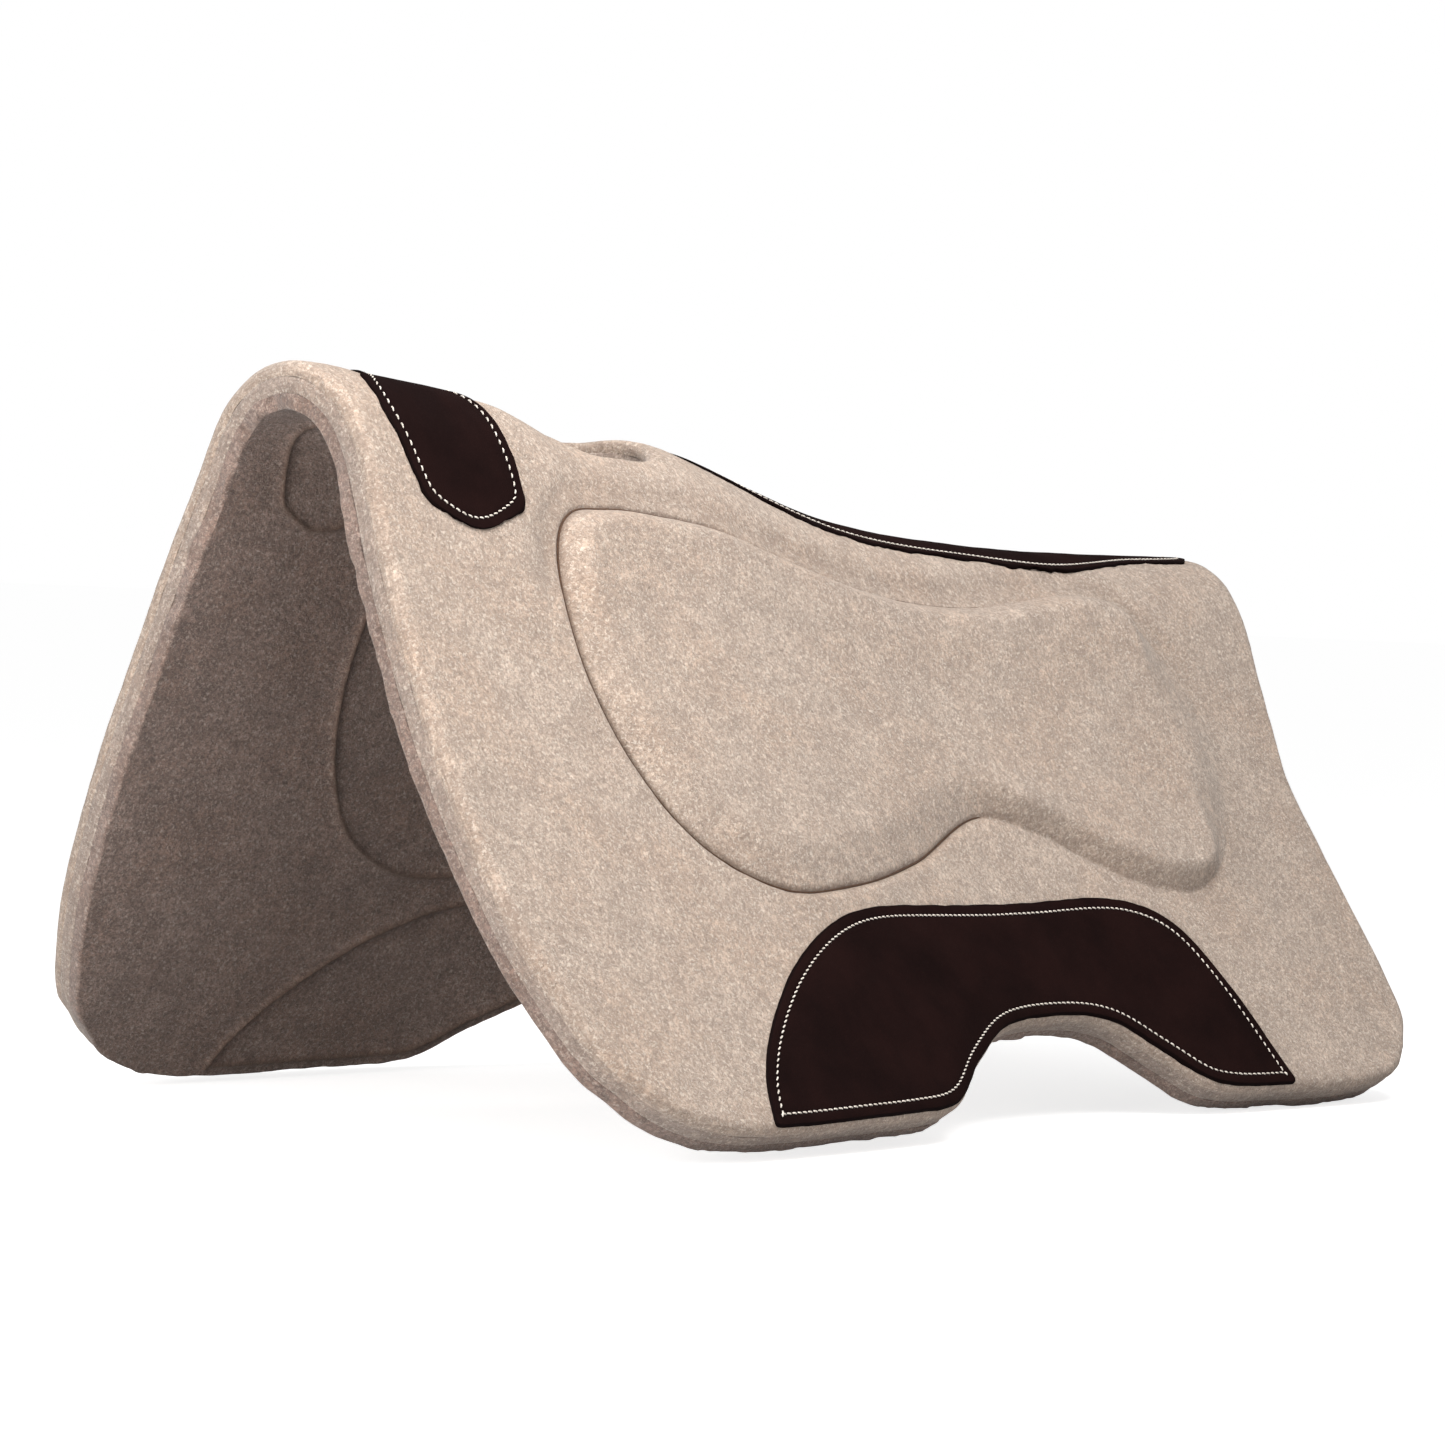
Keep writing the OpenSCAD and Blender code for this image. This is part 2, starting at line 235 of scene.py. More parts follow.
def lumps(p, size, seed):
    """Smooth noise from -1 to 1 at points p, with lumps of about that size."""
    q = p / size + seed * 17.3
    cell = np.floor(q).astype(np.int64)
    f = q - cell
    f = f * f * f * (f * (f * 6 - 15) + 10)
    total = np.zeros(len(p))
    for corner in range(8):
        o = np.array([corner & 1, corner >> 1 & 1, corner >> 2])
        c = cell + o
        h = (c[:, 0] * 73856093) ^ (c[:, 1] * 19349663) ^ (c[:, 2] * 83492791) ^ (seed * 2654435761)
        h = (h ^ (h >> 13)) * 1274126177
        value = ((h ^ (h >> 16)) & 0xFFFF) / 32767.5 - 1
        total += value * np.prod(np.where(o, f, 1 - f), axis=1)
    return total


# ---- outlines on one side ----
def pad_rim(step):
    """The side's edge, from the rear of the spine round to the front of the spine."""
    v_rear, x_low, v_front = np.linspace(0, 346, 200), np.linspace(757, 52, 300), np.linspace(404, 0, 200)
    return resample(np.vstack([np.stack([read(REAR, v_rear), v_rear], 1)[:-1],
                               np.stack([x_low, read(BOTTOM, x_low)], 1)[:-1],
                               np.stack([read(FRONT, v_front), v_front], 1)]), step)


def vent_rim(step):
    """The vent's edge on one side, from its front end to its rear end."""
    turn = np.radians(np.linspace(180, 0, 60))
    half = (VENT_LENGTH - VENT_WIDTH) / 2
    x = VENT_MIDDLE + np.cos(turn) * VENT_WIDTH / 2 + np.where(turn > np.pi / 2, -half, half)
    return resample(np.stack([x, np.sin(turn) * VENT_WIDTH / 2], 1), step)


def softened(loop, times=3):
    """A closed loop with its corners softened."""
    for _ in range(times):
        loop = (np.roll(loop, 1, 0) + 2 * loop + np.roll(loop, -1, 0)) / 4
    return loop


def wear_rim(step):
    """The wear leather's edge, which stays just inside the felt's lower edge."""
    x = np.linspace(WEAR_ENDS[1], WEAR_ENDS[0], 300)
    low = np.stack([x, read(BOTTOM, x) - WEAR_MARGIN], 1)
    return softened(resample(np.vstack([low, curve_through(WEAR_TOP)[1:-1]]), step, True))


def stitch_loop(loop):
    """The stitching's loop: the leather's edge moved in."""
    return softened(moved_in(loop, STITCH_IN))


def mirrored(rim):
    """A whole loop from one side's rim that ends on the spine."""
    return np.vstack([rim, (rim * (1, -1))[-2:0:-1]])


def patch_rim(step):
    return resample(curve_through(PATCH), step)


def strip_rim(step):
    return resample(curve_through(STRIP), step)


insert_line = Line(curve_through(INSERT[::-1], closed=True))
wear_line = Line(stitch_loop(wear_rim(3)))
patch_line = Line(stitch_loop(mirrored(patch_rim(3))))
pad_line = Line(pad_rim(2), closed=False)


# ---- relief, in millimetres ----
INSERT_LIFT = 7.5
CREST_LIFT, CREST_WIDTH = 4, 70
GROOVE, GROOVE_WIDTH = 2.4, 1.5
LIP, LIP_OUT, LIP_WIDTH = 0.7, 6, 4
VALLEY, VALLEY_OUT, VALLEY_WIDTH, VALLEY_SHADE = 3.4, 8, 9, 0.22


def insert_relief(p):
    """Over the contour insert: how far the outer ply is lifted, the relief round it, and the painted shade of
    its groove and of the valley above it.
    """
    index, away = insert_line.signed(p)
    x, v = insert_line.points[index].T
    top = ease((150 - v) / 50)
    low_rear = ease((x - 400) / 80) * (1 - top)
    fade = ease((x - 640) / 50)
    ramp = mix(mix(mix(30, 14, top), 15, low_rear), 55, fade)
    crest = CREST_LIFT * np.maximum(top, low_rear) * (1 - ease(away / CREST_WIDTH))
    lift = (INSERT_LIFT + crest) * ease((away + 1) / ramp) ** 0.8
    crisp = (1 - 0.7 * np.maximum(top * ease((x - 220) / 160), low_rear)) * (1 - fade)
    groove = crisp * np.exp(-np.abs(away / GROOVE_WIDTH) ** 1.5)
    lip = LIP * crisp * np.exp(-((away + LIP_OUT) / LIP_WIDTH) ** 2)
    valley = top * (1 - fade) * np.exp(-((away + VALLEY_OUT) / VALLEY_WIDTH) ** 2)
    return lift, lip - VALLEY * valley - GROOVE * groove, np.maximum(groove, VALLEY_SHADE * valley)


def sewn_relief(lines, depth, width):
    """A soft channel along lines of stitching: its relief and the painted shade that darkens it."""
    def relief(p):
        away = np.min([line.nearest(p)[1] for line in lines], axis=0)
        channel = np.exp(-(away / width) ** 2)
        return -depth * channel, channel
    return relief


# ---- a closed sheet on one side of the pad ----
def triangulate(loop, extra):
    """Triangles that fill a loop and use every extra point, as numbers into loop + extra."""
    flat = [Vector(p) for p in np.vstack([loop, extra])]
    points, _, faces, origin, _, _ = delaunay_2d_cdt(flat, [], [list(range(len(loop)))], 1, 1e-7)
    source = [o[0] if o else -1 for o in origin]
    if min(source) < 0:
        raise ValueError("an outline crosses itself")
    tris = np.array([[source[i] for i in face] for face in faces])
    a, b, c = (np.vstack([loop, extra])[tris[:, k]] for k in range(3))
    area = (b[:, 0] - a[:, 0]) * (c[:, 1] - a[:, 1]) - (b[:, 1] - a[:, 1]) * (c[:, 0] - a[:, 0])
    return np.where(area[:, None] > 0, tris, tris[:, ::-1])


def scatter(loop, spacing, rings=(), clear=0.65):
    """A triangular lattice of points inside a loop, giving way to the rings' own points."""
    low, high = loop.min(0), loop.max(0)
    lattice = np.stack(np.meshgrid(np.arange(low[0], high[0], spacing),
                                   np.arange(low[1], high[1], spacing * 0.866)), -1)
    lattice[1::2, :, 0] += spacing / 2
    lattice = lattice.reshape(-1, 2)
    edge = Line(loop, step=1)
    kept = np.empty((0, 2))
    for ring in rings:
        ring = ring[inside(loop, ring)]
        if len(ring):
            kept = np.vstack([kept, ring[edge.nearest(ring)[1] > 0.8]])
    lattice = lattice[inside(loop, lattice)]
    lattice = lattice[edge.nearest(lattice)[1] > clear * spacing]
    if len(kept):
        tree = KDTree(len(kept))
        for i, (x, v) in enumerate(kept):
            tree.insert((x, v, 0), i)
        tree.balance()
        away = np.array([tree.find((x, v, 0))[2] for x, v in lattice])
        lattice = lattice[away > clear * spacing]
    return np.vstack([kept, lattice])


class Sheet:
    """A sheet's shape on one side, as vertices at x, v, d between its top and bottom faces.

    rims are lines that run with the sheet on their left. A rim that is open starts and ends on the
    spine, where the two sides' halves of the sheet meet. profile is how the edge turns from the top
    face to the bottom face, as (distance in, d). share runs from 0 on the top face to 1 on the bottom
    face, rim is 1 on the cut edge, and out is the way in which the edge may stray.
    """

    TOP, RIM, BOTTOM, CUT = range(4)

    def __init__(self, rims, profile, top_spacing, bottom_spacing, top_rings=(), bottom_rings=()):
        deepest = max(r for r, _ in profile)
        loop, into, on_rim = [], [], []
        for i, rim in enumerate(rims):
            n = inward(rim, closed=not self.is_open(rim))
            if self.is_open(rim):
                n[0] = (-1, 0)
                n[-1] = (1, 0)
                start, end = rim[-1, 0] + deepest + 1, rims[(i + 1) % len(rims)][0, 0] - deepest - 1
                cut = np.linspace(start, end, max(2, int((end - start) / 3)))
                cut = np.stack([cut, 0 * cut], 1)
            else:
                cut = np.empty((0, 2))
            loop += [rim, cut]
            into += [n, 0 * cut]
            on_rim += [np.ones(len(rim)), np.zeros(len(cut))]
        loop, into, on_rim = np.vstack(loop), np.vstack(into), np.concatenate(on_rim)
        m, k = len(loop), len(profile)
        edge = [loop + r * into for r, _ in profile]
        top_points = scatter(edge[0], top_spacing, top_rings)
        low_points = scatter(edge[-1], bottom_spacing, bottom_rings)
        top, low = triangulate(edge[0], top_points), triangulate(edge[-1], low_points)
        top = np.where(top < m, top, top + m * (k - 1))
        low = np.where(low < m, low + m * (k - 1), low + m * (k - 1) + len(top_points))[:, ::-1]
        self.flat = np.vstack(edge + [top_points, low_points])
        depths = np.repeat([d for _, d in profile], m)
        self.d = np.concatenate([depths, np.full(len(top_points), profile[0][1]),
                                 np.full(len(low_points), profile[-1][1])])
        self.share = (profile[0][1] - self.d) / (profile[0][1] - profile[-1][1])
        steps = np.array([r for r, _ in profile])
        outwards = np.repeat(1 - steps / max(deepest, 1e-9), m)
        within = np.zeros(len(top_points) + len(low_points))
        self.rim = np.concatenate([outwards * np.tile(on_rim, k), within])
        self.out = np.vstack([np.tile(-into, (k, 1)), np.zeros((len(within), 2))])
        self.out *= np.concatenate([outwards, within])[:, None]
        i = np.arange(m)
        j = (i + 1) % m
        quads = np.vstack([np.stack([r * m + i, (r + 1) * m + i, (r + 1) * m + j, r * m + j], 1)
                           for r in range(k - 1)])
        cut_quad = np.tile((on_rim[i] == 0) | (on_rim[j] == 0), k - 1)
        self.tris, self.quads = np.vstack([top, low]), quads
        self.kind = np.concatenate([np.full(len(top), self.TOP), np.full(len(low), self.BOTTOM),
                                    np.where(cut_quad, self.CUT, self.RIM)])

    @staticmethod
    def is_open(rim):
        return abs(rim[0, 1]) < 1e-6 and abs(rim[-1, 1]) < 1e-6


# ---- meshes ----
FELT_LUMPS = [(0.026, 0.30), (0.010, 0.20), (0.0045, 0.10)]
LEATHER_LUMPS = [(0.030, 0.25), (0.009, 0.08)]


def rough(p, sizes, seed):
    return sum(height * lumps(p, size, seed + i) for i, (size, height) in enumerate(sizes))


def shaped(sheet, side, top_relief, low_relief, sizes, edge_lumps, seed):
    """A sheet's points in the frame, its places on the pad, and the painted shade of its channels."""
    flat, d = sheet.flat, sheet.d
    top, low = top_relief(flat), low_relief(flat)
    relief, shade = mix(top[0], low[0], sheet.share), mix(top[1], low[1], sheet.share)
    first = place(flat[:, 0], side * flat[:, 1], d)
    ragged = edge_lumps * (lumps(first, 0.014, seed + 7) + 0.6 * lumps(first, 0.005, seed + 8))
    ragged = ragged * (1.6 - 1.1 * ease((flat[:, 1] - 120) / 200))     # more ragged near the arch
    flat = flat + sheet.out * ragged[:, None]
    d = d + relief + rough(first, sizes, seed) * (1 - 2 * sheet.share)
    x, s = flat[:, 0], side * flat[:, 1]
    return place(x, s, d), np.stack([x, s, d], 1) * MM, shade


def face_normals(points, faces):
    a, b, c = points[faces[:, 0]], points[faces[:, 1]], points[faces[:, 2]]
    n = np.cross(b - a, c - a)
    if faces.shape[1] == 4:
        n = n + np.cross(c - a, points[faces[:, 3]] - a)
    return n


def vertex_normals(points, groups):
    total = np.zeros_like(points)
    for faces in groups:
        n = face_normals(points, faces)
        for k in range(faces.shape[1]):
            np.add.at(total, faces[:, k], n)
    return total


def unit(n):
    return n / np.maximum(np.linalg.norm(n, axis=1, keepdims=True), 1e-12)


def new_object(name, points, groups, floats=(), vectors=(), normals=None):
    """A mesh object from points and arrays of faces, with named values at its points."""
    mesh = bpy.data.meshes.new(name)
    mesh.vertices.add(len(points))
    mesh.vertices.foreach_set("co", points.astype(np.float32).ravel())
    corners = np.concatenate([faces.ravel() for faces in groups]).astype(np.int32)
    sizes = np.concatenate([np.full(len(faces), faces.shape[1]) for faces in groups])
    mesh.loops.add(len(corners))
    mesh.loops.foreach_set("vertex_index", corners)
    mesh.polygons.add(len(sizes))
    mesh.polygons.foreach_set("loop_start", np.concatenate([[0], np.cumsum(sizes)[:-1]]).astype(np.int32))
    mesh.polygons.foreach_set("use_smooth", np.ones(len(sizes), bool))
    mesh.update(calc_edges=True)
    for kind, values in (("FLOAT", floats), ("FLOAT_VECTOR", vectors)):
        for key, value in values:
            attribute = mesh.attributes.new(key, kind, "POINT")
            field = "value" if kind == "FLOAT" else "vector"
            attribute.data.foreach_set(field, np.asarray(value, np.float32).ravel())
    if normals is not None:
        mesh.normals_split_custom_set(normals.tolist())
    piece = bpy.data.objects.new(name, mesh)
    bpy.context.scene.collection.objects.link(piece)
    return piece


def halves(names, sheet, top_relief, low_relief, sizes=FELT_LUMPS, edge_lumps=0.5, seed=1, hidden=()):
    """A sheet's left and right pieces. Their normals agree along the spine, so no seam shows."""
    made = {side: shaped(sheet, sign, top_relief, low_relief, sizes, edge_lumps, seed)
            for side, sign in SIDES.items()}
    kinds = np.split(sheet.kind, [len(sheet.tris)])
    seen = [~np.isin(kind, [sheet.CUT, *hidden]) for kind in kinds]
    groups = {"left": [sheet.tris[:, ::-1], sheet.quads[:, ::-1]], "right": [sheet.tris, sheet.quads]}
    smooth = {side: vertex_normals(made[side][0], [faces[mask] for faces, mask in zip(groups[side], seen)])
              for side in SIDES}
    middle = sheet.flat[:, 1] == 0
    shared = smooth["left"][middle] + smooth["right"][middle]
    pieces = []
    for side, name in zip(SIDES, names):
        points, where, shade = made[side]
        smooth[side][middle] = shared
        point_normals = unit(smooth[side])
        corner_normals = []
        for faces, mask in zip(groups[side], seen):
            n = point_normals[faces]
            n[~mask] = unit(face_normals(points, faces))[~mask][:, None]
            corner_normals.append(n.reshape(-1, 3))
        pieces.append(new_object(name, points, groups[side], [("rim", sheet.rim), ("shade", shade)],
                                 [("pad_place", where)], np.vstack(corner_normals)))
    return pieces


def whole(name, sheet, top_relief, low_relief, sizes, edge_lumps, seed):
    """One piece from both halves of a sheet, joined along the spine."""
    n = len(sheet.flat)
    points, where, shade = (np.concatenate(pair) for pair in zip(
        *(shaped(sheet, sign, top_relief, low_relief, sizes, edge_lumps, seed) for sign in (1, -1))))
    joined = np.arange(2 * n)
    middle = np.flatnonzero(sheet.flat[:, 1] == 0)
    joined[middle + n] = middle
    kept = np.unique(joined)
    number = np.zeros(2 * n, int)
    number[kept] = np.arange(len(kept))
    kinds = np.split(sheet.kind, [len(sheet.tris)])
    groups = []
    for faces, kind in zip((sheet.tris, sheet.quads), kinds):
        faces = faces[kind != sheet.CUT]
        groups += [number[joined[faces]], number[joined[faces + n]][:, ::-1]]
    floats = [("rim", np.tile(sheet.rim, 2)[kept]), ("shade", shade[kept])]
    return new_object(name, points[kept], groups, floats, [("pad_place", where[kept])])


# ---- thread ----
def tube(centres, ways_out, radii, sides=6, closed=False):
    """Tubes along rows of centres (tube, ring, 3), each ring turned about the tube's own direction."""
    count, rings = centres.shape[:2]
    along = np.roll(centres, -1, 1) - np.roll(centres, 1, 1) if closed else np.gradient(centres, axis=1)
    along /= np.linalg.norm(along, axis=2, keepdims=True)
    across = np.cross(along, ways_out)
    across /= np.linalg.norm(across, axis=2, keepdims=True)
    up = np.cross(across, along)
    turn = np.linspace(0, 2 * np.pi, sides, endpoint=False)
    ring = (across[:, :, None] * np.cos(turn)[:, None] + up[:, :, None] * np.sin(turn)[:, None])
    points = centres[:, :, None] + ring * np.broadcast_to(radii, (count, rings))[:, :, None, None]
    number = np.arange(count * rings * sides).reshape(count, rings, sides)
    after = np.roll(number, -1, 1) if closed else number[:, 1:]
    before = number if closed else number[:, :-1]
    quads = np.stack([before, after, np.roll(after, -1, 2), np.roll(before, -1, 2)], -1).reshape(-1, 4)
    groups = [quads]
    if not closed:
        groups += [number[:, 0].reshape(-1, sides), number[:, -1, ::-1].reshape(-1, sides)]
    return points.reshape(-1, 3), groups


STITCH_PITCH = 4.3
STITCH_SHARE = 0.68
STITCH_SLANT = 0.4
THREAD = 0.47
STITCH_T = np.array([0, 0.16, 0.5, 0.84, 1])
STITCH_RISE = np.array([-0.9, 0.15, 0.42, 0.15, -0.9])
STITCH_WIDTH = np.array([0.6, 0.95, 1, 0.95, 0.6])


def stitches(name, line, base, relief, closed=True):
    """Separate stitches along a line of (x, s), each slanted a little and dipping in at its ends."""
    run = resample(line, STITCH_PITCH, closed)
    ahead = (np.roll(run, -1, 0) if closed else np.vstack([run[1:], run[-1:]])) - run
    if not closed:
        run, ahead = run[:-1], ahead[:-1]
    n = np.stack([-ahead[:, 1], ahead[:, 0]], 1) / np.linalg.norm(ahead, axis=1, keepdims=True)
    reach = (1 - STITCH_SHARE) / 2 + STITCH_T * STITCH_SHARE
    slant = STITCH_SLANT * (1 - 2 * STITCH_T)
    flat = (run[:, None] + ahead[:, None] * reach[:, None] + n[:, None] * slant[:, None]).reshape(-1, 2)
    d = base + relief(np.abs(flat))[0] + np.tile(STITCH_RISE, len(run))
    centres = place(flat[:, 0], flat[:, 1], d)
    out = place(flat[:, 0], flat[:, 1], d + 1) - centres
    shape = (len(run), len(STITCH_T), 3)
    points, groups = tube(centres.reshape(shape), out.reshape(shape), STITCH_WIDTH * THREAD * MM, 7)
    return new_object(name, points, groups, vectors=[("pad_place", points)])


# ---- materials ----
class Nodes:
    """A short way to write a material's node tree."""

    def __init__(self, name):
        self.material = bpy.data.materials.new(name)
        self.material.use_nodes = True
        self.tree = self.material.node_tree
        self.shader = self.tree.nodes["Principled BSDF"]

    def add(self, kind, inputs=(), **settings):
        node = self.tree.nodes.new(kind)
        for key, value in settings.items():
            setattr(node, key, value)
        for key, value in dict(inputs).items():
            self.put(node.inputs[key], value)
        return node

    def put(self, socket, value):
        if isinstance(value, bpy.types.NodeSocket):
            self.tree.links.new(value, socket)
        else:
            socket.default_value = value

    def attribute(self, name, output="Fac"):
        return self.add("ShaderNodeAttribute", attribute_name=name).outputs[output]

    def stretched(self, vector, scale):
        return self.add("ShaderNodeMapping", {"Vector": vector, "Scale": scale}).outputs[0]

    def noise(self, vector, scale, detail=3, roughness=0.55, distortion=0):
        return self.add("ShaderNodeTexNoise", {"Vector": vector, "Scale": scale, "Detail": detail,
                                               "Roughness": roughness, "Distortion": distortion}).outputs[0]

    def math(self, operation, a, b=0.5, c=0.5, clamp=False):
        return self.add("ShaderNodeMath", {0: a, 1: b, 2: c}, operation=operation, use_clamp=clamp).outputs[0]

    def span(self, value, low, high, to_low=0, to_high=1):
        node = self.add("ShaderNodeMapRange", {"Value": value, "From Min": low, "From Max": high,
                                               "To Min": to_low, "To Max": to_high})
        return node.outputs[0]

    def threads(self, vector, scale, thin, detail=2, distortion=1.5):
        """Thin wandering lines, such as single fibres: 1 on the line and 0 off it."""
        n = self.noise(vector, scale, detail, 0.5, distortion)
        return self.span(self.math("ABSOLUTE", self.math("SUBTRACT", n, 0.5)), 0, thin, 1, 0)

    def colour(self, a, b, share, blend="MIX"):
        node = self.add("ShaderNodeMix", data_type="RGBA", blend_type=blend)
        self.put(node.inputs[0], share)
        self.put(node.inputs[6], (*a, 1) if isinstance(a, tuple) else a)
        self.put(node.inputs[7], (*b, 1) if isinstance(b, tuple) else b)
        return node.outputs[2]

    def bump(self, height, distance, strength=1, under=None):
        node = self.add("ShaderNodeBump", {"Height": height, "Distance": distance, "Strength": strength})
        if under is not None:
            self.put(node.inputs["Normal"], under)
        return node.outputs[0]

    def finish(self, **sockets):
        for key, value in sockets.items():
            self.put(self.shader.inputs[key.replace("_", " ")], value)
        return self.material


def linear(r, g, b):
    """A colour as it looks on a screen, 0 to 255, as light."""
    return tuple(((c / 255 + 0.055) / 1.055) ** 2.4 for c in (r, g, b))


def felt(name, wool, grey, tan, cream, brown):
    """Pressed wool: heathered fibres over soft blotches, with the plies' layers showing on cut edges."""
    m = Nodes(name)
    at = m.attribute("pad_place", "Vector")
    rim, shade = m.attribute("rim"), m.attribute("shade")
    blotch = m.span(m.noise(at, 42, 3, 0.65), 0.38, 0.62)
    warm = m.span(m.noise(m.stretched(at, (1, 1.3, 1)), 15, 2), 0.42, 0.62)
    tufts = m.span(m.noise(at, 115, 3, 0.7, 0.6), 0.40, 0.60)
    heather = m.span(m.noise(at, 400, 4, 0.75, 0.6), 0.42, 0.60)
    fleck = m.span(m.noise(at, 560, 3, 0.6, 0.8), 0.54, 0.64)
    speck = m.span(m.noise(m.stretched(at, (1, 1.3, 1)), 500, 3, 0.6, 1.2), 0.58, 0.68)
    colour = m.colour(wool, tan, m.math("MULTIPLY", warm, 0.4))
    colour = m.colour(colour, grey, m.math("MULTIPLY", blotch, 0.34))
    colour = m.colour(colour, grey, m.math("MULTIPLY", tufts, 0.46))
    colour = m.colour(colour, grey, m.math("MULTIPLY", m.math("SUBTRACT", 1, heather, clamp=True), 0.75))
    colour = m.colour(colour, cream, m.math("MULTIPLY", fleck, 0.48))
    colour = m.colour(colour, brown, m.math("MULTIPLY", speck, 0.55))
    dark = m.threads(at, 210, 0.012)
    colour = m.colour(colour, brown, m.math("MULTIPLY", dark, 0.5))
    pale = m.threads(m.stretched(at, (1, 1.2, 1)), 260, 0.012)
    colour = m.colour(colour, cream, m.math("MULTIPLY", pale, 0.5))
    layers = m.noise(m.stretched(at, (1, 1, 14)), 60, 3, 0.6, 0.3)
    layer_shade = m.math("MULTIPLY", m.span(layers, 0.38, 0.62), m.math("MULTIPLY", rim, 0.4))
    colour = m.colour(colour, linear(120, 102, 92), layer_shade)
    # Painted shade: the insert's groove, the valley above the insert and the liner's stitching channels are
    # darkened towards brown.
    colour = m.colour(colour, linear(92, 66, 48), m.math("MULTIPLY", shade, 0.75))
    fuzz = m.noise(at, 640, 4, 0.7, 0.6)
    normal = m.bump(m.noise(at, 150, 3, 0.6), 0.0013, 0.7)
    normal = m.bump(fuzz, 0.0009, 0.9, normal)
    normal = m.bump(m.math("ADD", dark, pale), 0.0003, 0.5, normal)
    return m.finish(Base_Color=colour, Roughness=0.95, Specular_IOR_Level=0.15, Normal=normal,
                    Sheen_Weight=0.25, Sheen_Roughness=0.6)


def hide(name, brown, black):
    """Oiled leather: a fine grain over a soft nap, with raw black cut edges and painted shade in its
    stitching channels.
    """
    m = Nodes(name)
    at = m.attribute("pad_place", "Vector")
    rim, shade = m.attribute("rim"), m.attribute("shade")
    blotch = m.span(m.noise(at, 22, 3, 0.6), 0.35, 0.65)
    grain = m.add("ShaderNodeTexVoronoi", {"Vector": at, "Scale": 900, "Randomness": 1},
                  feature="DISTANCE_TO_EDGE").outputs[0]
    nap = m.noise(at, 1300, 3, 0.7)
    colour = m.colour(brown, black, m.math("MULTIPLY", blotch, 0.7))
    colour = m.colour(colour, linear(52, 34, 31), m.math("MULTIPLY", m.span(nap, 0.55, 0.75), 0.22))
    # The raw cut edges are the leather's own black; the stitching channels are darkened as painted shade.
    black_edge_and_channel_shade = m.math("MAXIMUM", m.span(rim, 0.05, 0.5), m.math("MULTIPLY", shade, 0.6))
    colour = m.colour(colour, black, black_edge_and_channel_shade)
    normal = m.bump(m.noise(at, 240, 3), 0.0004, 0.5)
    normal = m.bump(m.span(grain, 0, 0.25), 0.00012, 0.6, normal)
    normal = m.bump(nap, 0.0002, 0.5, normal)
    rough_face = m.span(m.noise(at, 60, 3), 0.3, 0.7, 0.62, 0.78)
    return m.finish(Base_Color=colour, Roughness=rough_face, Specular_IOR_Level=0.015, Normal=normal)


def yarn(name, light, dark, twist):
    """Twisted thread."""
    m = Nodes(name)
    at = m.attribute("pad_place", "Vector")
    strands = m.noise(at, twist, 2, 0.6)
    colour = m.colour(light, dark, m.span(strands, 0.42, 0.66))
    return m.finish(Base_Color=colour, Roughness=0.75, Specular_IOR_Level=0.3,
                    Normal=m.bump(strands, 0.0003, 0.7), Sheen_Weight=0.1, Sheen_Roughness=0.5)


OUTER_WOOL = felt("outer_wool", linear(209, 188, 171), linear(144, 126, 113), linear(206, 172, 146),
                  linear(244, 232, 218), linear(104, 86, 72))
CORE_WOOL = felt("core_wool", linear(190, 171, 158), linear(126, 111, 102), linear(184, 153, 131),
                 linear(232, 220, 206), linear(96, 80, 68))
# The liner is the same wool as the outer ply; its colours are darkened as painted shade for the inside of the
# pad.
SHADED_LINER_WOOL = felt("shaded_liner_wool", linear(172, 146, 134), linear(92, 75, 68), linear(160, 124, 104),
                  linear(206, 190, 178), linear(70, 56, 48))
SHIM_WOOL = felt("shim_wool", linear(190, 171, 158), linear(130, 116, 106), linear(184, 153, 131),
                 linear(232, 220, 206), linear(96, 80, 68))
DARK_HIDE = hide("dark_hide", linear(33, 19, 18), linear(20, 12, 12))
WHITE_THREAD = yarn("white_thread", linear(238, 230, 220), linear(176, 164, 152), 1500)
BROWN_THREAD = yarn("brown_thread", linear(92, 64, 44), linear(52, 34, 24), 1500)


def paint(piece, material):
    piece.data.materials.append(material)
    return piece


# ---- the camera, at the photograph's viewing angle ----
CAMERA_TURN = (-49.506, 1.721, 2.443)       # azimuth, elevation and roll, in degrees
CAMERA_AWAY, CAMERA_LENS = 2.9564, 131.06
CAMERA_AHEAD, CAMERA_BELOW = 0.43675, 0.18707     # of the felt's rear top, in metres


def make_camera():
    azimuth, elevation, roll = (math.radians(a) for a in CAMERA_TURN)
    target = Vector((spine_high.x - CAMERA_AHEAD, 0, spine_high.z - CAMERA_BELOW))
    back = Vector((math.sin(azimuth) * math.cos(elevation), -math.cos(azimuth) * math.cos(elevation),
                   math.sin(elevation)))
    right = Vector((math.cos(azimuth), math.sin(azimuth), 0))
    up = back.cross(right)
    side = right * math.cos(roll) + up * math.sin(roll)
    top = up * math.cos(roll) - right * math.sin(roll)
    data = bpy.data.cameras.new("camera")
    data.lens, data.sensor_width = CAMERA_LENS, 36
    camera = bpy.data.objects.new("camera", data)
    turned = Matrix((side, top, back)).transposed().to_4x4()
    camera.matrix_world = Matrix.Translation(target + back * CAMERA_AWAY) @ turned
    bpy.context.scene.collection.objects.link(camera)
    bpy.context.scene.camera = camera


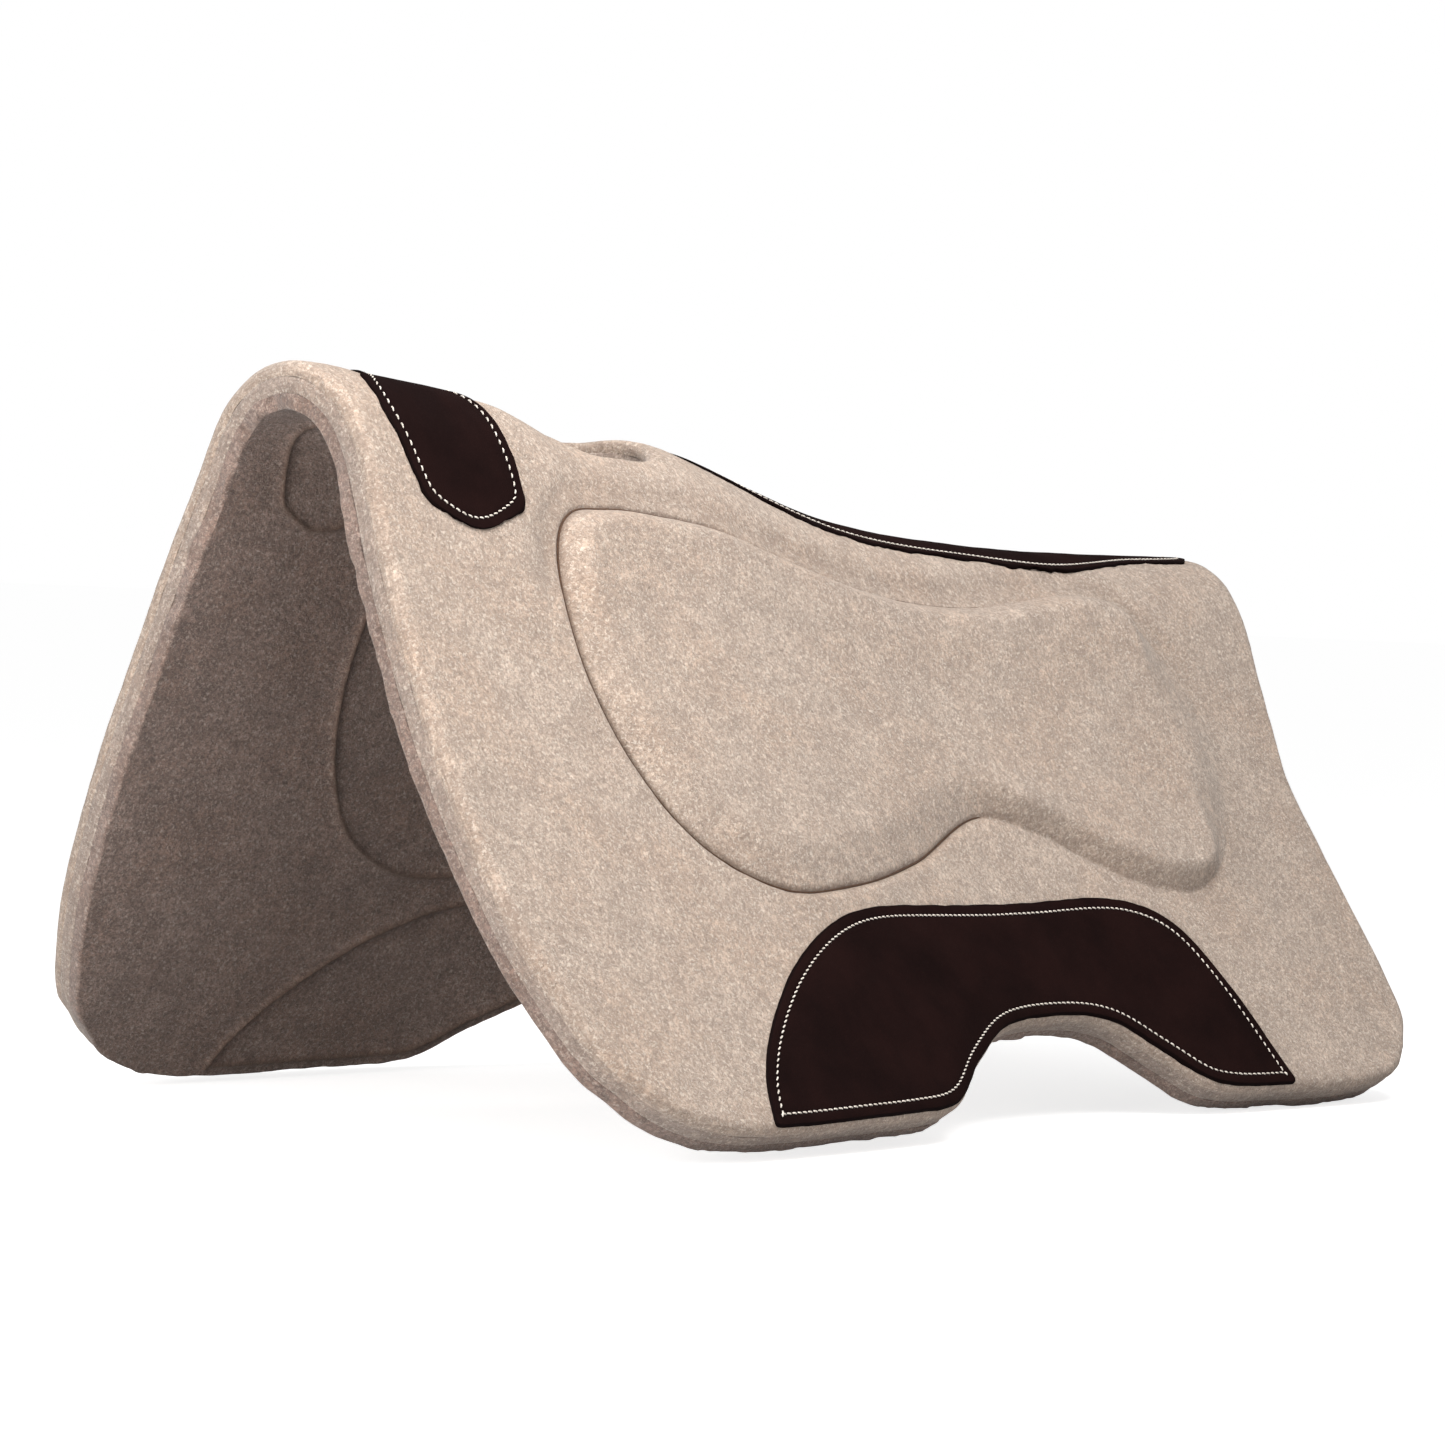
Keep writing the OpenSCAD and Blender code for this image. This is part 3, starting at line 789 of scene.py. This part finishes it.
def area_light(name, azimuth, elevation, distance, size, power, colour=(1, 1, 1), target=(0, 0, 0.2)):
    a, e = math.radians(azimuth), math.radians(elevation)
    back = Vector((math.sin(a) * math.cos(e), -math.cos(a) * math.cos(e), math.sin(e)))
    data = bpy.data.lights.new(name, "AREA")
    data.shape, data.size, data.energy, data.color = "DISK", size, power, colour
    lamp = bpy.data.objects.new(name, data)
    lamp.location = Vector(target) + back * distance
    lamp.rotation_mode = "QUATERNION"
    lamp.rotation_quaternion = back.to_track_quat("Z", "Y")
    bpy.context.scene.collection.objects.link(lamp)


WORLD_LIGHT = 0.3
BOUNCE = 0.6
DOME_RADIUS, DOME_SIDES, DOME_ROWS = 30, 48, 12


def plane(name, height, colour, glow):
    """A wide level sheet of paper, in metres, which may glow."""
    corners = np.array([(-40, -40, height), (40, -40, height), (40, 40, height), (-40, 40, height)], float)
    sheet = new_object(name, corners, [np.array([(0, 1, 2, 3)])])
    m = Nodes(name + "_paper")
    sheet.data.materials.append(m.finish(Base_Color=(colour, colour, colour, 1), Roughness=1,
                                         Specular_IOR_Level=0, Emission_Color=(1, 1, 1, 1),
                                         Emission_Strength=glow))
    return sheet


def make_studio():
    scene = bpy.context.scene
    scene.view_settings.view_transform = "Standard"
    world = bpy.data.worlds.new("studio")
    world.use_nodes = True
    world.node_tree.nodes["Background"].inputs["Color"].default_value = (1, 1, 1, 1)
    world.node_tree.nodes["Background"].inputs["Strength"].default_value = WORLD_LIGHT
    scene.world = world
    area_light("key", -40, 67, 1.13, 1.0, 19.5, (1, 0.985, 0.965), (-0.05, -0.2, 0.21))
    area_light("front", -80, 9, 2, 1.0, 36, (1, 0.985, 0.965), (-0.2, 0, 0.2))

    # The floor that shows is bright paper. A duller one just under it gives the light from below.
    floor = plane("floor", 0, 0.8, 0.75)
    bounce = plane("bounce", -0.001, BOUNCE, 0)
    floor.visible_diffuse = floor.visible_glossy = floor.visible_shadow = False
    bounce.visible_camera = False
    turn = np.linspace(0, 2 * np.pi, DOME_SIDES, endpoint=False)
    rise = np.radians(np.linspace(0, 90, DOME_ROWS + 1))[:-1]
    dome = np.vstack([np.stack([np.cos(turn) * np.cos(e), np.sin(turn) * np.cos(e), 0 * turn + np.sin(e)], 1)
                      for e in rise] + [[[0, 0, 1]]]) * DOME_RADIUS
    number = np.arange(DOME_SIDES * DOME_ROWS).reshape(DOME_ROWS, DOME_SIDES)
    quads = np.stack([number[:-1], number[1:], np.roll(number[1:], -1, 1), np.roll(number[:-1], -1, 1)], -1)
    cap = np.stack([number[-1], np.full(DOME_SIDES, number.size), np.roll(number[-1], -1)], -1)
    backdrop = new_object("backdrop", dome, [quads.reshape(-1, 4), cap])
    m = Nodes("backdrop_light")
    backdrop.data.materials.append(m.finish(Base_Color=(0, 0, 0, 1), Specular_IOR_Level=0,
                                            Emission_Color=(1, 1, 1, 1), Emission_Strength=1))
    for ray in ("diffuse", "glossy", "transmission", "shadow", "volume_scatter"):
        setattr(backdrop, "visible_" + ray, False)


make_camera()
make_studio()

# ---- the felt ----
FACE_STEP, LINER_STEP, EDGE_STEP, HIDDEN_STEP = 3, 3.6, 3, 14
TOP_D, CORE_D = 3 * PLY / 2, PLY / 2
CORNER, LINER_CORNER = 5.5, 1.8
PINCH, PLY_ROUND, PLY_LAP = 0.45, 1.6, 0.05    # the dent between two plies on the cut edge, and their overlap
CORNER_TURN = np.radians([0, 22, 45, 68, 90])
SEWN_DEPTH, SEWN_WIDTH = 1.6, 2.2


def rounded(radius, d):
    """Profile rows round a corner, from the face at d to the edge."""
    drop = math.copysign(radius, d)
    return [(radius * (1 - math.sin(t)), d - drop * (1 - math.cos(t))) for t in CORNER_TURN]


def smooth_face(p):
    return np.zeros(len(p)), np.zeros(len(p))


def outer_top(p):
    lift, groove, shade = insert_relief(p)
    return lift + groove, shade


def outer_under(p):
    return insert_relief(p)[0], np.zeros(len(p))


def make_felt():
    rims = [pad_rim(EDGE_STEP), vent_rim(1.5)]
    outer_profile = rounded(CORNER, TOP_D) + [(0, CORE_D + PLY_ROUND), (PINCH, CORE_D - PLY_LAP)]
    core_profile = [(PINCH, CORE_D + PLY_LAP), (0, CORE_D - PLY_ROUND), (0, 0), (0, PLY_ROUND - CORE_D),
                    (PINCH, -CORE_D - PLY_LAP)]
    liner_profile = [(PINCH, PLY_LAP - CORE_D), (0, -CORE_D - PLY_ROUND)]
    liner_profile += rounded(LINER_CORNER, -TOP_D)[::-1]
    outer_rings = insert_line.rings((-4.6, -2.6, -1.3, -0.5, 0.5, 1.3, 2.6, 4.6), 2.2)
    sewn = [insert_line, wear_line, patch_line]
    liner_rings = [ring for line in sewn for ring in line.rings((-3, -1.2, 0, 1.2, 3), 3)]
    # name: sheet, relief on its top and bottom faces, wool, slot, raggedness, hidden faces
    sheets = {
        "outer_felt": (Sheet(rims, outer_profile, FACE_STEP, HIDDEN_STEP, outer_rings), outer_top,
                       outer_under, OUTER_WOOL, "felt", 0.4, [Sheet.BOTTOM]),
        "core_felt": (Sheet(rims, core_profile, HIDDEN_STEP, HIDDEN_STEP), smooth_face, smooth_face,
                      CORE_WOOL, "core_felt", 0.5, [Sheet.TOP, Sheet.BOTTOM]),
        "liner_felt": (Sheet(rims, liner_profile, HIDDEN_STEP, LINER_STEP, (), liner_rings), smooth_face,
                       sewn_relief(sewn, SEWN_DEPTH, SEWN_WIDTH), SHADED_LINER_WOOL, "liner_felt", 1.5, [Sheet.TOP]),
    }
    for i, (name, (sheet, top, low, wool, slot, ragged, hidden)) in enumerate(sheets.items()):
        names = [f"{side}_{name}" for side in SIDES]
        for side, piece in zip(SIDES, halves(names, sheet, top, low, FELT_LUMPS, ragged, 10 * i + 1, hidden)):
            bend(paint(piece, wool), side)
            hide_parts(f"{side}_{name}", f"spine_{name}")


SEAM_RADIUS, SEAM_RAISED, SEAM_SUNK = 0.75, 0.2, 1.6    # it sinks into the felt where the groove fades


def make_insert():
    """The hidden shim between the core and the outer ply, and the seam round it."""
    rim = moved_in(resample(insert_line.points, 6, True), 3)
    shim = Sheet([rim], [(0, CORE_D + 0.45), (0, CORE_D + 0.05)], 8, HIDDEN_STEP)
    names = [f"{side}_contour_insert" for side in SIDES]
    for side, piece in zip(SIDES, halves(names, shim, outer_under, smooth_face, (), 0, 31)):
        bend(paint(piece, SHIM_WOOL), side)
        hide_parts(f"{side}_contour_insert")
    run = resample(insert_line.points, 2, True)
    relief, shade = outer_top(run)
    d = TOP_D + relief + SEAM_RAISED - SEAM_SUNK * (1 - shade)
    for side, sign in SIDES.items():
        centres = place(run[:, 0], sign * run[:, 1], d)
        out = place(run[:, 0], sign * run[:, 1], d + 1) - centres
        points, groups = tube(centres[None], out[None], SEAM_RADIUS * MM, 6, closed=True)
        seam = new_object(f"{side}_insert_seam", points, groups, vectors=[("pad_place", points)])
        bend(paint(seam, BROWN_THREAD), side)
        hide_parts(f"{side}_insert_seam")


# ---- the side pieces' flex joint, which is read but not applied ----
FLEX_TILT = math.radians(50)                # the felt's slope at the flex line


def bend(piece, side):
    """Bakes the piece's placement into its mesh. The side's flex joint and the felt's way down at it are
    worked out, but the piece is not bent over them.
    """
    joint = next(j for j in frame["joints"] if j["name"] == f"{side}_side_flex")
    axis, pivot = Vector(joint["axis"]).normalized(), Vector(joint["pos_m"])
    down = Vector((0, SIDES[side] * math.cos(FLEX_TILT), -math.sin(FLEX_TILT)))
    down = (down - axis * down.dot(axis)).normalized()
    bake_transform(piece)
    return piece


# ---- the leather ----
def hide_profile(low, high):
    """A cut edge from the face at high down to low, its top corner burnished round."""
    return [(1.3, high), (0.6, high - 0.15), (0.15, high - 0.5), (0, high - 1.1), (0, low)]


def leather_face(line, channel=0.45, width=1.3, edge=True):
    """The leather's relief: its stitching's channel, and the fall of the felt's rounded edge under it; also
    the painted shade along the channel.
    """
    def relief(p):
        groove = np.exp(-(line.nearest(p)[1] / width) ** 2) if line else np.zeros(len(p))
        fall = felt_fall(p) if edge else 0
        return insert_relief(p)[0] - channel * groove - fall, groove
    return relief


def felt_fall(p):
    """How far the felt's rounded edge lies below its face."""
    away = CORNER - np.clip(pad_line.nearest(p)[1], 0, CORNER)
    return CORNER - np.sqrt(CORNER ** 2 - away ** 2)


def make_wear_leathers():
    base = TOP_D + LEATHER_PROUD
    sheet = Sheet([wear_rim(2.5)], hide_profile(TOP_D - LEATHER_SUNK, base), 4, HIDDEN_STEP,
                  wear_line.rings((-2.4, -1, 0, 1, 2.4), 2.5))
    face, under = leather_face(wear_line), leather_face(None)
    names = [f"{side}_wear_leather" for side in SIDES]
    for side, piece in zip(SIDES, halves(names, sheet, face, under, LEATHER_LUMPS, 0.5, 41)):
        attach(paint(piece, DARK_HIDE), f"{side}_side")
        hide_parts(f"{side}_wear_leather")
        line = wear_line.points * (1, SIDES[side])
        thread = stitches(f"{side}_wear_leather_stitching", line, base, face)
        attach(paint(thread, WHITE_THREAD), f"{side}_side")
        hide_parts(f"{side}_wear_leather_stitching")


def make_wither_patch():
    """The patch over the front of the spine. Each half's stitching starts and ends on the spine."""
    base = TOP_D + LEATHER_PROUD
    sheet = Sheet([patch_rim(2.5)], hide_profile(TOP_D - LEATHER_SUNK, base), 4, HIDDEN_STEP,
                  patch_line.rings((-2.4, -1, 0, 1, 2.4), 2.5))
    face = leather_face(patch_line, edge=False)
    names = [f"wither_patch_{side}" for side in SIDES]
    for side, piece in zip(SIDES, halves(names, sheet, face, smooth_face, LEATHER_LUMPS, 0.9, 51)):
        bend(paint(piece, DARK_HIDE), side)
        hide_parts("wither_patch")
        line = patch_line.points
        half = line[line[:, 1] * SIDES[side] >= 0]
        first = np.argmax(np.linalg.norm(half - np.roll(half, 1, 0), axis=1))
        half = np.roll(half, -first, 0)
        thread = stitches(f"wither_patch_stitching_{side}", half, base, face, closed=False)
        bend(paint(thread, WHITE_THREAD), side)
        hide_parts("wither_patch_stitching")


def make_spine_strip():
    base = TOP_D + LEATHER_PROUD
    seam = moved_in(strip_rim(3), STRIP_STITCH_IN, False)
    seam = seam[seam[:, 1] > 2.5]
    line = Line(seam, closed=False)
    face = leather_face(line, edge=False)
    sheet = Sheet([strip_rim(2.5)], hide_profile(TOP_D - LEATHER_SUNK, base), 4, HIDDEN_STEP,
                  line.rings((-2.2, -1, 0, 1, 2.2), 2.5))
    strip = whole("spine_strip", sheet, face, smooth_face, LEATHER_LUMPS, 0.9, 61)
    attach(paint(strip, DARK_HIDE), "spine")
    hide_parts("spine_strip")
    for side, sign in SIDES.items():
        thread = stitches(f"spine_strip_stitching_{side}", line.points * (1, sign), base, face, closed=False)
        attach(paint(thread, WHITE_THREAD), "spine")
        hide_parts("spine_strip_stitching")


make_felt()
make_insert()
make_wear_leathers()
make_wither_patch()
make_spine_strip()
